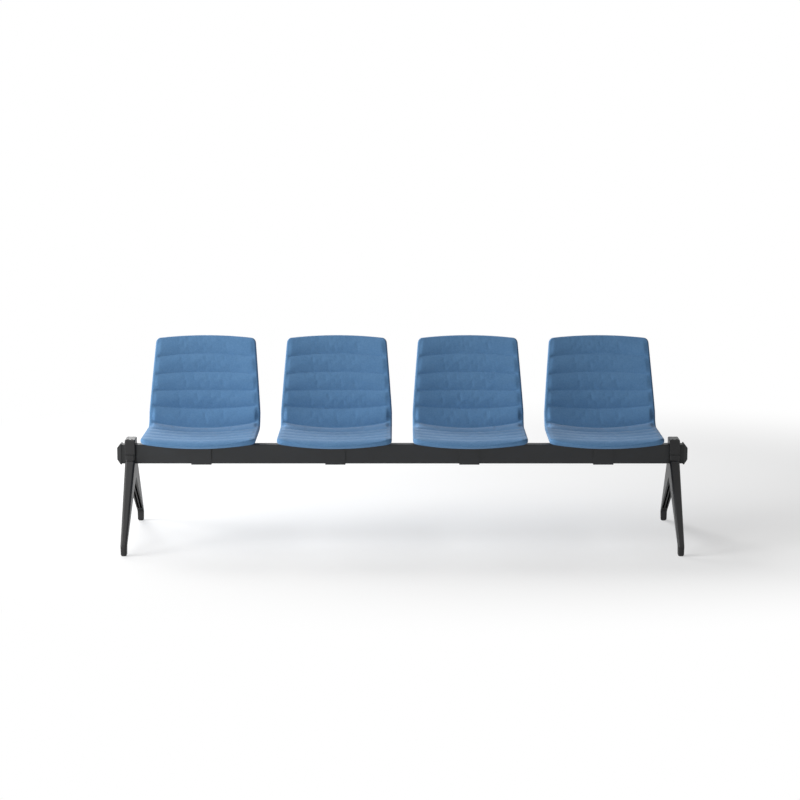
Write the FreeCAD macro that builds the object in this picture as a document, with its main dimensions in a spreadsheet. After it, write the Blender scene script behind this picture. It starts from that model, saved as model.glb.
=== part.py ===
import FreeCAD, Part
import math
import os
import re
import Sketcher

# Beam seating for four people: a rectangular beam on two cast V legs carries
# four upholstered shells. Sizes are in millimetres. The frame has +Z up, the
# seats face -Y, and the origin is on the floor under the middle of the beam.

doc = FreeCAD.newDocument("BeamSeating")
V = FreeCAD.Vector

# Driving dimensions
sizes = {
    # beam tube
    "beam_length": 2304.0,
    "beam_height": 80.0,
    "beam_depth": 40.0,
    "beam_wall": 2.0,
    "beam_corner": 4.0,
    "beam_top": 395.0,
    # end caps
    "cap_lip": 3.0,
    "cap_rim": 4.0,
    "cap_nose": 15.0,
    "cap_face_height": 48.0,
    "cap_face_depth": 24.0,
    "cap_plug": 25.0,
    "cap_plug_wall": 3.0,
    "cap_fit": 0.2,
    "cap_round": 2.0,
    # legs
    "leg_inset": 37.0,
    "leg_width": 43.0,
    "leg_foot_width": 24.0,
    "leg_spread": 660.0,
    "leg_foot_depth": 27.0,
    "leg_knuckle": 42.0,
    "leg_knuckle_radius": 14.0,
    "crotch_drop": 57.0,
    "leg_crotch_radius": 14.0,
    "leg_shoulder": 8.0,
    "shoulder_drop": 24.0,
    "leg_shoulder_radius": 10.0,
    "leg_neck_radius": 3.0,
    "leg_edge_radius": 9.0,
    "head_depth": 78.0,
    "head_cover": 23.0,
    "head_corner": 7.0,
    "head_edge_radius": 5.0,
    "head_gap": 2.0,
    "head_fit": 0.3,
    "recess_skin": 6.0,
    "recess_rise": 20.0,
    "recess_drop": 30.0,
    "recess_mouth": 12.0,
    "recess_wall": 4.0,
    "recess_rib": 4.0,
    # clamp screws of the legs
    "clamp_radius": 3.0,
    "clamp_head": 5.0,
    "clamp_head_height": 6.0,
    "clamp_sink": 7.5,
    "clamp_grip": 18.0,
    "clamp_spare": 2.0,
    "clamp_across": 18.0,
    # screws in general
    "screw_clearance": 0.3,
    "thread_clearance": 0.05,
    "socket_flats": 4.0,
    "socket_depth": 2.2,
    # levelling feet
    "glide_radius": 11.0,
    "glide_height": 5.0,
    "glide_edge": 1.0,
    "glide_socket": 3.0,
    "stud_radius": 5.0,
    "stud_length": 31.0,
    "stud_tip": 1.0,
    "stud_spare": 4.0,
    # seat places
    "seat_spacing": 550.0,
    # layers of a seat
    "pad_thickness": 14.0,
    "pad_crown": 5.0,
    "pad_draw": 3.0,
    "layer_gap": 0.4,
    "rim_gap": 0.8,
    "shell_thickness": 6.0,
    "shell_inset": 8.0,
    "cover_thickness": 2.0,
    "cover_inset": 4.0,
    # side view of a seat
    "seat_gap": 8.0,
    "seat_tilt": 2.9,
    "seat_front": 181.0,
    "lip_radius": 38.0,
    "lip_angle": 52.0,
    "side_rise": 17.0,
    "side_tilt": 1.5,
    "side_bend_radius": 52.0,
    "bend_setback": 128.0,
    "back_recline": 19.0,
    "back_length": 347.5,
    "top_dish": 13.5,
    # front view of a seat
    "front_width": 465.0,
    "seat_width": 464.0,
    "top_width": 417.0,
    "taper_lead": 0.72,
    "front_bow": 26.0,
    "front_corner": 35.0,
    "top_arch": 15.5,
    "seam_smile": 10.0,
    "smile_reach": 115.0,
    "top_corner": 17.0,
    # carrier, strap and their screws
    "carrier_thickness": 4.0,
    "carrier_width": 190.0,
    "carrier_depth": 130.0,
    "carrier_corner": 12.0,
    "strap_width": 82.5,
    "strap_thickness": 4.0,
    "strap_fit": 0.3,
    "strap_flange": 28.0,
    "strap_bend": 3.0,
    "boss_radius": 9.0,
    "boss_clearance": 0.5,
    "boss_across": 140.0,
    "boss_apart": 90.0,
    "insert_radius": 4.5,
    "insert_length": 9.0,
    "insert_spare": 1.0,
    "seat_screw_radius": 3.0,
    "seat_screw_head": 5.0,
    "seat_screw_head_height": 3.5,
    "seat_screw_length": 11.0,
    "strap_screw_across": 52.0,
}

# Sizes that follow from the driving ones
derived = {
    "beam_bottom": "=beam_top - beam_height",
    "carrier_top": "=beam_top + carrier_thickness",
    "leg_spacing": "=beam_length - 2 * leg_inset",
    "head_inner": "=beam_depth / 2 + head_fit",
    "head_joint": "=beam_top - beam_height / 2",
    "head_top": "=beam_top + head_cover",
    "clamp_apart": "=head_inner + head_depth / 2",
    "strap_inner": "=beam_depth / 2 + strap_fit",
    "strap_screw_apart": "=2 * (strap_inner + strap_thickness) + strap_flange",
    "leg_crotch": "=beam_bottom - crotch_drop",
    "leg_shoulder_height": "=head_joint - shoulder_drop",
    "shoulder_reach": "=head_depth / 2 + leg_shoulder",
    "outer_slope": "=(leg_shoulder_height - leg_knuckle) / (leg_spread / 2 - shoulder_reach)",
    "inner_reach": "=leg_spread / 2 - leg_foot_depth",
    "inner_slope": "=(leg_crotch - leg_knuckle) / inner_reach",
    "recess_low": "=leg_knuckle + recess_rise",
    "recess_high": "=leg_crotch - recess_drop",
    "skin_drop": "=recess_skin * sqrt(1 + outer_slope ^ 2)",
    "skin_low": "=shoulder_reach + (leg_shoulder_height - skin_drop - recess_low) / outer_slope",
    "skin_high": "=shoulder_reach + (leg_shoulder_height - skin_drop - recess_high) / outer_slope",
    "mouth_low": "=(leg_crotch - recess_low) / inner_slope - recess_mouth",
    "mouth_high": "=(leg_crotch - recess_high) / inner_slope - recess_mouth",
    "leg_taper": "=(leg_width - leg_foot_width) / head_joint",
    "recess_end": "=(leg_foot_width + leg_taper * recess_low) / 2 - recess_wall",
    "recess_strip": "=recess_end - recess_rib / 2",
    "foot_reach": "=leg_spread / 2 - leg_foot_depth / 2",
}

seat_places = (-1.5, -0.5, 0.5, 1.5)
channel_count = 10
steps_per_channel = 4
steps_per_bend = 12
steps_per_lip = 8
steps_per_corner = 5
least_step = 1.5
near = 0.01
edge_margin = 3.0

sheet = doc.addObject("Spreadsheet::Sheet", "Sizes")
for row, (alias, value) in enumerate({**sizes, **derived}.items(), start=1):
    sheet.set("A%d" % row, alias)
    sheet.set("B%d" % row, str(value))
    sheet.setAlias("B%d" % row, alias)
doc.recompute()

X_AXIS = V(1, 0, 0)
Z_AXIS = V(0, 0, 1)
nodes = []


def size(alias):
    return float(getattr(sheet, alias))


def named(expression):
    # every alias in an expression gets the sheet's name in front
    def word(match):
        text = match.group()
        return "Sizes." + text if text in sizes or text in derived else text
    return re.sub(r"[a-z_]+", word, expression)


def drive(obj, prop, expression):
    obj.setExpression(prop, named(expression))


def keep(obj, label, x="0", y="0", z="0", turn=None):
    # a finished sub-part: its label, its place and its entry in the list
    obj.Label = label
    if turn:
        obj.Placement = FreeCAD.Placement(V(0, 0, 0), FreeCAD.Rotation(*turn))
    for axis, expression in (("x", x), ("y", y), ("z", z)):
        drive(obj, "Placement.Base." + axis, expression)
    doc.recompute()
    nodes.append(obj)
    return obj


def plane(body, role):
    return [feature for feature in body.Origin.OriginFeatures if feature.Role == role][0]


def new_sketch(body, name, role, height):
    sketch = body.newObject("Sketcher::SketchObject", name)
    sketch.AttachmentSupport = [(plane(body, role), "")]
    sketch.MapMode = "FlatFace"
    drive(sketch, "AttachmentOffset.Base.z", height)
    return sketch


def hold_point(sketch, geometry, end, across, up, point):
    for kind, expression, value in (("DistanceX", across, point.x), ("DistanceY", up, point.y)):
        index = sketch.addConstraint(Sketcher.Constraint(kind, -1, 1, geometry, end, value))
        drive(sketch, "Constraints[%d]" % index, expression)


def polygons(body, name, role, outlines, height="0"):
    # closed outlines whose corners are dimensioned from the origin
    sketch = new_sketch(body, name, role, height)
    for corners in outlines:
        first = sketch.GeometryCount
        count = len(corners)
        start = [V(math.cos(k * 2 * math.pi / count), math.sin(k * 2 * math.pi / count), 0)
                 for k in range(count)]
        for k in range(count):
            sketch.addGeometry(Part.LineSegment(start[k], start[(k + 1) % count]))
        for k in range(count):
            following = first + (k + 1) % count
            sketch.addConstraint(Sketcher.Constraint("Coincident", first + k, 2, following, 1))
        for k, (across, up) in enumerate(corners):
            hold_point(sketch, first + k, 1, across, up, start[k])
    doc.recompute()
    return sketch


def circles(body, name, role, centres, radius, height="0"):
    # equal circles with dimensioned centres
    sketch = new_sketch(body, name, role, height)
    for k, (across, up) in enumerate(centres):
        centre = V(k + 1, k + 1, 0)
        sketch.addGeometry(Part.Circle(centre, Z_AXIS, 1))
        hold_point(sketch, k, 3, across, up, centre)
        index = sketch.addConstraint(Sketcher.Constraint("Radius", k, 1.0))
        drive(sketch, "Constraints[%d]" % index, radius)
    doc.recompute()
    return sketch


def pad(body, sketch, length, side="One side", back=False):
    feature = body.newObject("PartDesign::Pad", sketch.Name + "Pad")
    feature.Profile = sketch
    feature.SideType = side
    feature.Reversed = back
    drive(feature, "Length", length)
    doc.recompute()
    return feature


def pocket(body, sketch, length, side="One side", back=False):
    # a cut that is checked to have taken material away
    before = body.Shape.Volume
    feature = body.newObject("PartDesign::Pocket", sketch.Name + "Cut")
    feature.Profile = sketch
    feature.SideType = side
    feature.Reversed = back
    drive(feature, "Length", length)
    doc.recompute()
    if not body.Shape.Volume < before - near:
        raise RuntimeError(feature.Name + " cuts nothing")
    return feature


def revolve(body, sketch):
    feature = body.newObject("PartDesign::Revolution", sketch.Name + "Turned")
    feature.Profile = sketch
    feature.ReferenceAxis = (plane(body, "Z_Axis"), [""])
    feature.Angle = 360.0
    doc.recompute()
    return feature


def round_edges(body, radius, test):
    # a fillet on the edges whose two ends pass the test
    base = body.Tip
    names = []
    for index, edge in enumerate(base.Shape.Edges, start=1):
        if len(edge.Vertexes) == 2 and test(edge.Vertexes[0].Point, edge.Vertexes[1].Point):
            names.append("Edge%d" % index)
    feature = body.newObject("PartDesign::Fillet", base.Name + "Round")
    feature.Base = (base, names)
    drive(feature, "Radius", radius)
    doc.recompute()
    return feature


def runs_along(axis, a, b):
    gap = b - a
    return abs(gap.Length - abs(gap[axis])) < near


def rectangle(half_across, half_up):
    return [("-(%s)" % half_across, "-(%s)" % half_up), (half_across, "-(%s)" % half_up),
            (half_across, half_up), ("-(%s)" % half_across, half_up)]


def four(across, apart):
    # the four corners of a bolt rectangle
    return [("%s%s / 2" % (i, across), "%s%s / 2" % (j, apart)) for i in ("-", "") for j in ("-", "")]


# Beam tube
def make_beam():
    body = doc.addObject("PartDesign::Body", "beam_tube")
    outline = polygons(body, "BeamOutline", "YZ_Plane", [rectangle("beam_depth / 2", "beam_height / 2")])
    pad(body, outline, "beam_length", "Symmetric")
    round_edges(body, "beam_corner", lambda a, b: runs_along(0, a, b))
    bore = polygons(body, "BeamBore", "YZ_Plane",
                    [rectangle("beam_depth / 2 - beam_wall", "beam_height / 2 - beam_wall")])
    pocket(body, bore, "beam_length", "Symmetric")

    def in_bore_corner(p):
        return (abs(abs(p.y) - size("beam_depth") / 2 + size("beam_wall")) < near
                and abs(abs(p.z) - size("beam_height") / 2 + size("beam_wall")) < near)
    round_edges(body, "beam_corner - beam_wall", lambda a, b: runs_along(0, a, b) and in_bore_corner(a))
    return keep(body, "beam_tube", z="beam_top - beam_height / 2")


# End cap: a rim over the tube's end, a tapered nose and a hollow plug in the bore
def make_cap(label, sign, turn):
    body = doc.addObject("PartDesign::Body", label)
    rim_up = "beam_height / 2 + cap_lip"
    rim_across = "beam_depth / 2 + cap_lip"
    tip = "cap_rim + cap_nose"
    upper = [("0 * cap_rim", rim_up), ("cap_rim", rim_up), (tip, "cap_face_height / 2")]
    lower = [(along, "-(%s)" % up) for along, up in reversed(upper)]
    side = polygons(body, "CapSide", "XZ_Plane", [upper + lower])
    pad(body, side, "beam_depth + 2 * cap_lip", "Symmetric")
    wedges = [[("cap_rim", i + "(%s)" % rim_across), (tip, i + "cap_face_depth / 2"),
               (tip, i + "(%s)" % rim_across)] for i in ("", "-")]
    slopes = polygons(body, "CapSlopes", "XY_Plane", wedges)
    pocket(body, slopes, "beam_height + 2 * cap_lip", "Symmetric")
    round_edges(body, "cap_round", lambda a, b: max(a.x, b.x) > size("cap_rim") / 2)
    plug = polygons(body, "CapPlug", "YZ_Plane",
                    [rectangle("beam_depth / 2 - beam_wall - cap_fit",
                               "beam_height / 2 - beam_wall - cap_fit")])
    pad(body, plug, "cap_plug", back=True)
    round_edges(body, "beam_corner - beam_wall", lambda a, b: runs_along(0, a, b) and max(a.x, b.x) < near)
    hollow = polygons(body, "CapHollow", "YZ_Plane",
                      [rectangle("beam_depth / 2 - beam_wall - cap_fit - cap_plug_wall",
                                 "beam_height / 2 - beam_wall - cap_fit - cap_plug_wall")],
                      "-cap_plug")
    pocket(body, hollow, "cap_plug", back=True)
    return keep(body, label, x="%sbeam_length / 2" % sign, z="beam_top - beam_height / 2", turn=turn)


# Leg: one casting with the lower half of the clamp and two tapered limbs
def outer_line(height):
    # how far from the middle the outside of a limb is at a height
    reach = size("shoulder_reach") + (size("leg_shoulder_height") - height) / size("outer_slope")
    return min(reach, size("leg_spread") / 2)


def make_leg(label, sign, turn):
    body = doc.addObject("PartDesign::Body", label)
    head_low = "head_joint - head_gap / 2"
    rear = [("head_inner", "beam_bottom"), ("head_inner", head_low), ("head_depth / 2", head_low),
            ("head_depth / 2", "leg_shoulder_height"), ("shoulder_reach", "leg_shoulder_height"),
            ("leg_spread / 2", "leg_knuckle"), ("leg_spread / 2", "glide_height"),
            ("inner_reach", "glide_height"), ("inner_reach", "leg_knuckle")]
    front = [("-" + across, up) for across, up in reversed(rear)]
    outline = polygons(body, "LegOutline", "YZ_Plane", [rear + [("0 * leg_crotch", "leg_crotch")] + front])
    pad(body, outline, "leg_width", "Symmetric")
    wedges = [[(side + "leg_width / 2", "head_joint"), (side + "leg_foot_width / 2", "0 * head_joint"),
               (side + "leg_width", "0 * head_joint"), (side + "leg_width", "head_joint")]
              for side in ("", "-")]
    taper = polygons(body, "LegTaper", "XZ_Plane", wedges)
    pocket(body, taper, "leg_spread + leg_width", "Symmetric")

    def across_at(reach, height):
        return lambda a, b: (abs(abs(a.y) - reach) < near and abs(a.z - height) < near
                             and runs_along(0, a, b) and (b - a).Length > near)
    knuckle = size("leg_knuckle")
    shoulder = size("leg_shoulder_height")
    round_edges(body, "leg_knuckle_radius", across_at(size("leg_spread") / 2, knuckle))
    round_edges(body, "leg_knuckle_radius", across_at(size("inner_reach"), knuckle))
    round_edges(body, "leg_crotch_radius", across_at(0, size("leg_crotch")))
    round_edges(body, "leg_shoulder_radius", across_at(size("shoulder_reach"), shoulder))
    round_edges(body, "leg_neck_radius", across_at(size("head_depth") / 2, shoulder))

    def outside(p):
        if p.z > shoulder:
            return abs(p.y) > size("head_depth") / 2 - near
        return abs(p.y) > outer_line(p.z) - size("leg_neck_radius") - edge_margin
    round_edges(body, "leg_edge_radius", lambda a, b: outside(a) and outside(b)
                and abs(a.x - b.x) < abs(a.z - b.z) + abs(a.y - b.y))
    recess = [[("%s%s" % (side, across), up) for across, up in (
        ("skin_low", "recess_low"), ("mouth_low", "recess_low"),
        ("mouth_high", "recess_high"), ("skin_high", "recess_high"))] for side in ("", "-")]
    inner_strip = polygons(body, "RecessInner", "YZ_Plane", recess, "-recess_end")
    pocket(body, inner_strip, "recess_strip", back=True)
    outer_strip = polygons(body, "RecessOuter", "YZ_Plane", recess, "recess_end - recess_strip")
    pocket(body, outer_strip, "recess_strip", back=True)
    threads = circles(body, "LegThreads", "XY_Plane", four("clamp_across", "clamp_apart"),
                      "clamp_radius + thread_clearance", head_low)
    pocket(body, threads, "clamp_grip")
    feet = [("0 * foot_reach", "%sfoot_reach" % side) for side in ("-", "")]
    bores = circles(body, "FootBores", "XY_Plane", feet, "stud_radius + thread_clearance", "glide_height")
    pocket(body, bores, "stud_length - glide_socket + stud_spare", back=True)
    return keep(body, label, x="%sleg_spacing / 2" % sign, turn=turn)


# Upper half of the clamp round the beam
def make_clamp(label, sign):
    body = doc.addObject("PartDesign::Body", label)
    low = "head_joint + head_gap / 2"
    half = [("head_inner", "beam_top"), ("head_inner", low), ("head_depth / 2", low),
            ("head_depth / 2", "head_top")]
    outline = polygons(body, "ClampOutline", "YZ_Plane",
                       [half + [("-" + across, up) for across, up in reversed(half)]])
    pad(body, outline, "leg_width", "Symmetric")
    top = size("head_top")
    edge = size("head_depth") / 2

    def on_face(p):
        return abs(abs(p.y) - edge) < near

    def on_top(p):
        return p.z > top - size("head_corner") - near
    round_edges(body, "head_corner", lambda a, b: runs_along(0, a, b) and on_face(a) and top - a.z < near)
    round_edges(body, "head_edge_radius", lambda a, b: abs(a.x - b.x) < near
                and (on_face(a) and on_face(b) or on_top(a) and on_top(b)))
    holes = circles(body, "ClampHoles", "XY_Plane", four("clamp_across", "clamp_apart"),
                    "clamp_radius + screw_clearance", "head_top")
    pocket(body, holes, "head_top - head_joint")
    sinks = circles(body, "ClampSinks", "XY_Plane", four("clamp_across", "clamp_apart"),
                    "clamp_head + screw_clearance", "head_top")
    pocket(body, sinks, "clamp_sink")
    return keep(body, label, x="%sleg_spacing / 2" % sign)


# Four equal socket screws, heads up before they are turned
def make_screws(label, radius, length, head, head_height, across, apart, x, y, z, turn=None):
    body = doc.addObject("PartDesign::Body", label)
    profile = polygons(body, "ScrewProfile", "XZ_Plane",
                       [[("0 * " + head, "-(%s)" % length), (radius, "-(%s)" % length),
                         (radius, "0 * " + head), (head, "0 * " + head), (head, head_height),
                         ("0 * " + head, head_height)]])
    turned = revolve(body, profile)
    reach = "socket_flats / sqrt(3)"
    hexagon = [(reach + " * cos(%d deg)" % angle, reach + " * sin(%d deg)" % angle)
               for angle in range(30, 390, 60)]
    socket = polygons(body, "ScrewSocket", "XY_Plane", [hexagon], head_height)
    cut = pocket(body, socket, "socket_depth")
    pattern = body.newObject("PartDesign::LinearPattern", "ScrewPattern")
    pattern.Originals = [turned, cut]
    pattern.Direction = (plane(body, "X_Axis"), [""])
    pattern.Direction2 = (plane(body, "Y_Axis"), [""])
    pattern.Occurrences = 2
    pattern.Occurrences2 = 2
    drive(pattern, "Length", across)
    drive(pattern, "Length2", apart)
    body.Tip = pattern
    return keep(body, label, x, y, z, turn)


# Levelling foot: a steel stud moulded into a nylon pad
def make_glide(label, side, end):
    x = "%sleg_spacing / 2" % side
    y = "%sfoot_reach" % end
    stud_foot = "glide_height - glide_socket"
    stud_top = "glide_height - glide_socket + stud_length"
    stud = doc.addObject("PartDesign::Body", "glide_stud_" + label)
    revolve(stud, polygons(stud, "StudProfile", "XZ_Plane",
                           [[("0 * stud_radius", stud_foot), ("stud_radius", stud_foot),
                             ("stud_radius", stud_top + " - stud_tip"),
                             ("stud_radius - stud_tip", stud_top), ("0 * stud_radius", stud_top)]]))
    keep(stud, "glide_stud_" + label, x, y)
    disc = doc.addObject("PartDesign::Body", "glide_pad_" + label)
    socket = "stud_radius + thread_clearance"
    revolve(disc, polygons(disc, "PadProfile", "XZ_Plane",
                           [[("0 * glide_radius", "0 * glide_radius"),
                             ("glide_radius - glide_edge", "0 * glide_radius"),
                             ("glide_radius", "glide_edge"), ("glide_radius", "glide_height"),
                             (socket, "glide_height"), (socket, stud_foot),
                             ("0 * glide_radius", stud_foot)]]))
    keep(disc, "glide_pad_" + label, x, y)


# Strap: a U round the beam's front, bottom and rear, with two flanges under the carrier
def make_strap(label, x):
    body = doc.addObject("PartDesign::Body", label)
    outer = "strap_inner + strap_thickness"
    rear = [("strap_inner", "beam_bottom"), ("strap_inner", "beam_top"),
            (outer + " + strap_flange", "beam_top"), (outer + " + strap_flange", "beam_top - strap_thickness"),
            (outer, "beam_top - strap_thickness"), (outer, "beam_bottom - strap_thickness")]
    front = [("-(%s)" % across, up) for across, up in reversed(rear)]
    outline = polygons(body, "StrapOutline", "YZ_Plane", [rear + front])
    pad(body, outline, "strap_width", "Symmetric")
    low = size("beam_bottom") - size("strap_thickness")
    round_edges(body, "strap_bend", lambda a, b: runs_along(0, a, b) and abs(a.z - low) < 0.01)
    holes = circles(body, "StrapHoles", "XY_Plane", four("strap_screw_across", "strap_screw_apart"),
                    "seat_screw_radius + screw_clearance", "beam_top")
    pocket(body, holes, "strap_thickness")
    return keep(body, label, x=x)


# Carrier: a flat plate on the beam that the shell is screwed to
def make_carrier(label, x):
    body = doc.addObject("PartDesign::Body", label)
    outline = polygons(body, "CarrierOutline", "XY_Plane",
                       [rectangle("carrier_width / 2", "carrier_depth / 2")], "beam_top")
    pad(body, outline, "carrier_thickness")
    round_edges(body, "carrier_corner", lambda a, b: runs_along(2, a, b))
    holes = circles(body, "CarrierHoles", "XY_Plane", four("boss_across", "boss_apart"),
                    "seat_screw_radius + screw_clearance", "carrier_top")
    pocket(body, holes, "carrier_thickness")
    threads = circles(body, "CarrierThreads", "XY_Plane", four("strap_screw_across", "strap_screw_apart"),
                      "seat_screw_radius + thread_clearance", "carrier_top")
    pocket(body, threads, "carrier_thickness")
    return keep(body, label, x=x)


# Four threaded inserts in a shell's bosses
def make_inserts(label, x):
    body = doc.addObject("PartDesign::Body", label)
    rings = circles(body, "InsertRings", "XY_Plane", four("boss_across", "boss_apart"),
                    "insert_radius", "carrier_top + layer_gap")
    pad(body, rings, "insert_length")
    bores = circles(body, "InsertBores", "XY_Plane", four("boss_across", "boss_apart"),
                    "seat_screw_radius + thread_clearance", "carrier_top + layer_gap")
    pocket(body, bores, "insert_length", back=True)
    return keep(body, label, x=x)


# The upholstered L is a double curve: every station along its side view is an
# arc from one side edge, through the middle line, to the other side edge.
class SeatForm:
    def __init__(self):
        layers = (size("pad_thickness") + size("shell_thickness") + size("cover_thickness")
                  + 2 * size("layer_gap"))
        self.tilt = math.radians(size("seat_tilt"))
        self.side_tilt = math.radians(size("side_tilt"))
        self.seat_height = size("carrier_top") + size("seat_gap") + layers
        self.side_height = self.seat_height + size("side_rise")
        setback = size("bend_setback")
        self.centre_y = setback
        self.centre_z = self.side_height + (
            size("side_bend_radius") - setback * math.sin(self.side_tilt)) / math.cos(self.side_tilt)
        self.bend_radius = (setback * math.sin(self.tilt)
                            + (self.centre_z - self.seat_height) * math.cos(self.tilt))
        self.back_angle = math.radians(90 - size("back_recline"))
        self.lip_angle = math.radians(size("lip_angle"))
        start_y = self.centre_y - self.bend_radius * math.sin(self.tilt)
        lip_end = size("lip_radius") * (self.lip_angle + self.tilt)
        seat_end = lip_end + (start_y + size("seat_front")) / math.cos(self.tilt)
        bend_end = seat_end + self.bend_radius * (self.back_angle + self.tilt)
        self.marks = (lip_end, seat_end, bend_end, bend_end + size("back_length"))
        self.total = self.marks[3]

    def middle(self, s):
        # the point of the middle line at a length from the lip, and its slope
        lip_end, seat_end, bend_end, _ = self.marks
        if s < seat_end:
            slope = -self.tilt
            base_y = self.centre_y - self.bend_radius * math.sin(self.tilt)
            base_z = self.centre_z - self.bend_radius * math.cos(self.tilt)
            run = seat_end - max(s, lip_end)
            y = base_y - run * math.cos(self.tilt)
            z = base_z + run * math.sin(self.tilt)
            if s < lip_end:
                radius = size("lip_radius")
                slope = self.lip_angle - s / radius
                y += radius * (-math.sin(self.tilt) - math.sin(slope))
                z += radius * (math.cos(slope) - math.cos(self.tilt))
            return V(0, y, z), slope
        slope = min(-self.tilt + (s - seat_end) / self.bend_radius, self.back_angle)
        y = self.centre_y + self.bend_radius * math.sin(slope)
        z = self.centre_z - self.bend_radius * math.cos(slope)
        run = max(s - bend_end, 0)
        return V(0, y + run * math.cos(slope), z + run * math.sin(slope)), slope

    def half_width(self, s):
        # half the width before the corners are rounded
        _, seat_end, bend_end, top = self.marks
        if s < seat_end:
            return (size("front_width") + (size("seat_width") - size("front_width")) * s / seat_end) / 2
        share = max(s - bend_end, 0) / (top - bend_end)
        lead = size("taper_lead")
        drop = size("seat_width") - size("top_width")
        return (size("seat_width") - drop * share * (lead + (1 - lead) * share)) / 2

    def side_edge(self, s):
        # the point of the side edge that the arc through the middle ends in, and its normal
        point, slope = self.middle(s)
        _, seat_end, bend_end, top = self.marks
        if s < seat_end:
            up = normal(-self.side_tilt)
            rise = up.dot(V(0, 0, self.side_height) - point)
            share = (seat_end - s) / seat_end
            return point + up * rise + tangent(-self.side_tilt) * size("front_bow") * share ** 2, up
        share = max(s - bend_end, 0) / (top - bend_end)
        deep = self.bend_radius - size("side_bend_radius")
        rise = deep + (size("top_dish") - deep) * share
        lift = min((s - seat_end) / (bend_end - seat_end), max(1 - (s - bend_end) / size("smile_reach"), 0))
        shift = size("seam_smile") * lift - size("top_arch") * share
        return point + normal(slope) * rise + tangent(slope) * shift, normal(slope)

    def outline(self, s, inset):
        # half the width with the rounded corners at the lip and at the top
        half = self.half_width(s) - inset
        for corner, along in ((size("front_corner"), s), (size("top_corner"), self.total - s)):
            if along < corner:
                radius = corner - inset
                rest = math.sqrt(max(radius ** 2 - (corner - along) ** 2, 0))
                half = self.half_width(s) - corner + rest
        return half

    def crown(self, s):
        share = s / self.total * channel_count % 1
        return size("pad_crown") * 4 * share * (1 - share)

    def stations(self):
        lip_end, seat_end, bend_end, top = self.marks
        places = {k * top / channel_count / steps_per_channel
                  for k in range(channel_count * steps_per_channel + 1)}
        places |= {lip_end * k / steps_per_lip for k in range(steps_per_lip + 1)}
        places |= {seat_end + (bend_end - seat_end) * k / steps_per_bend for k in range(steps_per_bend + 1)}
        for k in range(steps_per_corner + 1):
            share = 1 - math.sin(math.pi / 2 * k / steps_per_corner)
            places |= {size("front_corner") * share, top - size("top_corner") * share}
        kept = []
        for place in sorted(places):
            if not kept or place - kept[-1] > least_step:
                kept.append(place)
        kept[-1] = top
        return kept

    def rib(self, s, depth, inset, crowned=False):
        # the arc of one station, a depth under the seam surface
        inner = inset + s * (self.total - 2 * inset) / self.total
        point, slope = self.middle(inner)
        rise = self.crown(s) - depth if crowned else -depth
        point += normal(slope) * rise
        side, up = self.side_edge(inner)
        half = self.outline(inner, inset)
        end = point + (side - up * depth - point) * (half / self.half_width(inner)) ** 2
        return V(-half, end.y, end.z), point, V(half, end.y, end.z)

    def layer(self, front, rear, front_inset, rear_inset, crowned=False):
        # a closed solid between two sheets of arcs
        faces = []
        fronts = [self.rib(s, front, front_inset, crowned) for s in self.stations()]
        rears = [self.rib(s, rear, rear_inset) for s in self.stations()]
        front_arcs = [Part.Arc(*rib).toShape() for rib in fronts]
        rear_arcs = [Part.Arc(*rib).toShape() for rib in rears]
        for k in range(len(fronts) - 1):
            faces.append(Part.makeRuledSurface(front_arcs[k], front_arcs[k + 1]))
            faces.append(Part.makeRuledSurface(rear_arcs[k], rear_arcs[k + 1]))
            for end in (0, 2):
                faces.append(Part.makeRuledSurface(
                    Part.makeLine(fronts[k][end], fronts[k + 1][end]),
                    Part.makeLine(rears[k][end], rears[k + 1][end])))
        faces.append(Part.makeRuledSurface(front_arcs[0], rear_arcs[0]))
        faces.append(Part.makeRuledSurface(front_arcs[-1], rear_arcs[-1]))
        shell = Part.makeShell(faces)
        shell.sewShape()
        solid = Part.makeSolid(shell)
        if solid.Volume < 0:
            solid.reverse()
        return solid

    def height(self, x, y, depth):
        # height of a surface under the flat part of the seat
        s = self.marks[1] - (self.centre_y - self.bend_radius * math.sin(self.tilt) - y) / math.cos(self.tilt)
        point = self.middle(s)[0]
        side = self.side_edge(s)[0]
        return point.z + (side.z - point.z) * (x / self.half_width(s)) ** 2 - depth


def normal(slope):
    return V(0, -math.sin(slope), math.cos(slope))


def tangent(slope):
    return V(0, math.cos(slope), math.sin(slope))


def boss_places():
    return [(i * size("boss_across") / 2, j * size("boss_apart") / 2) for i in (-1, 1) for j in (-1, 1)]


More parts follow.
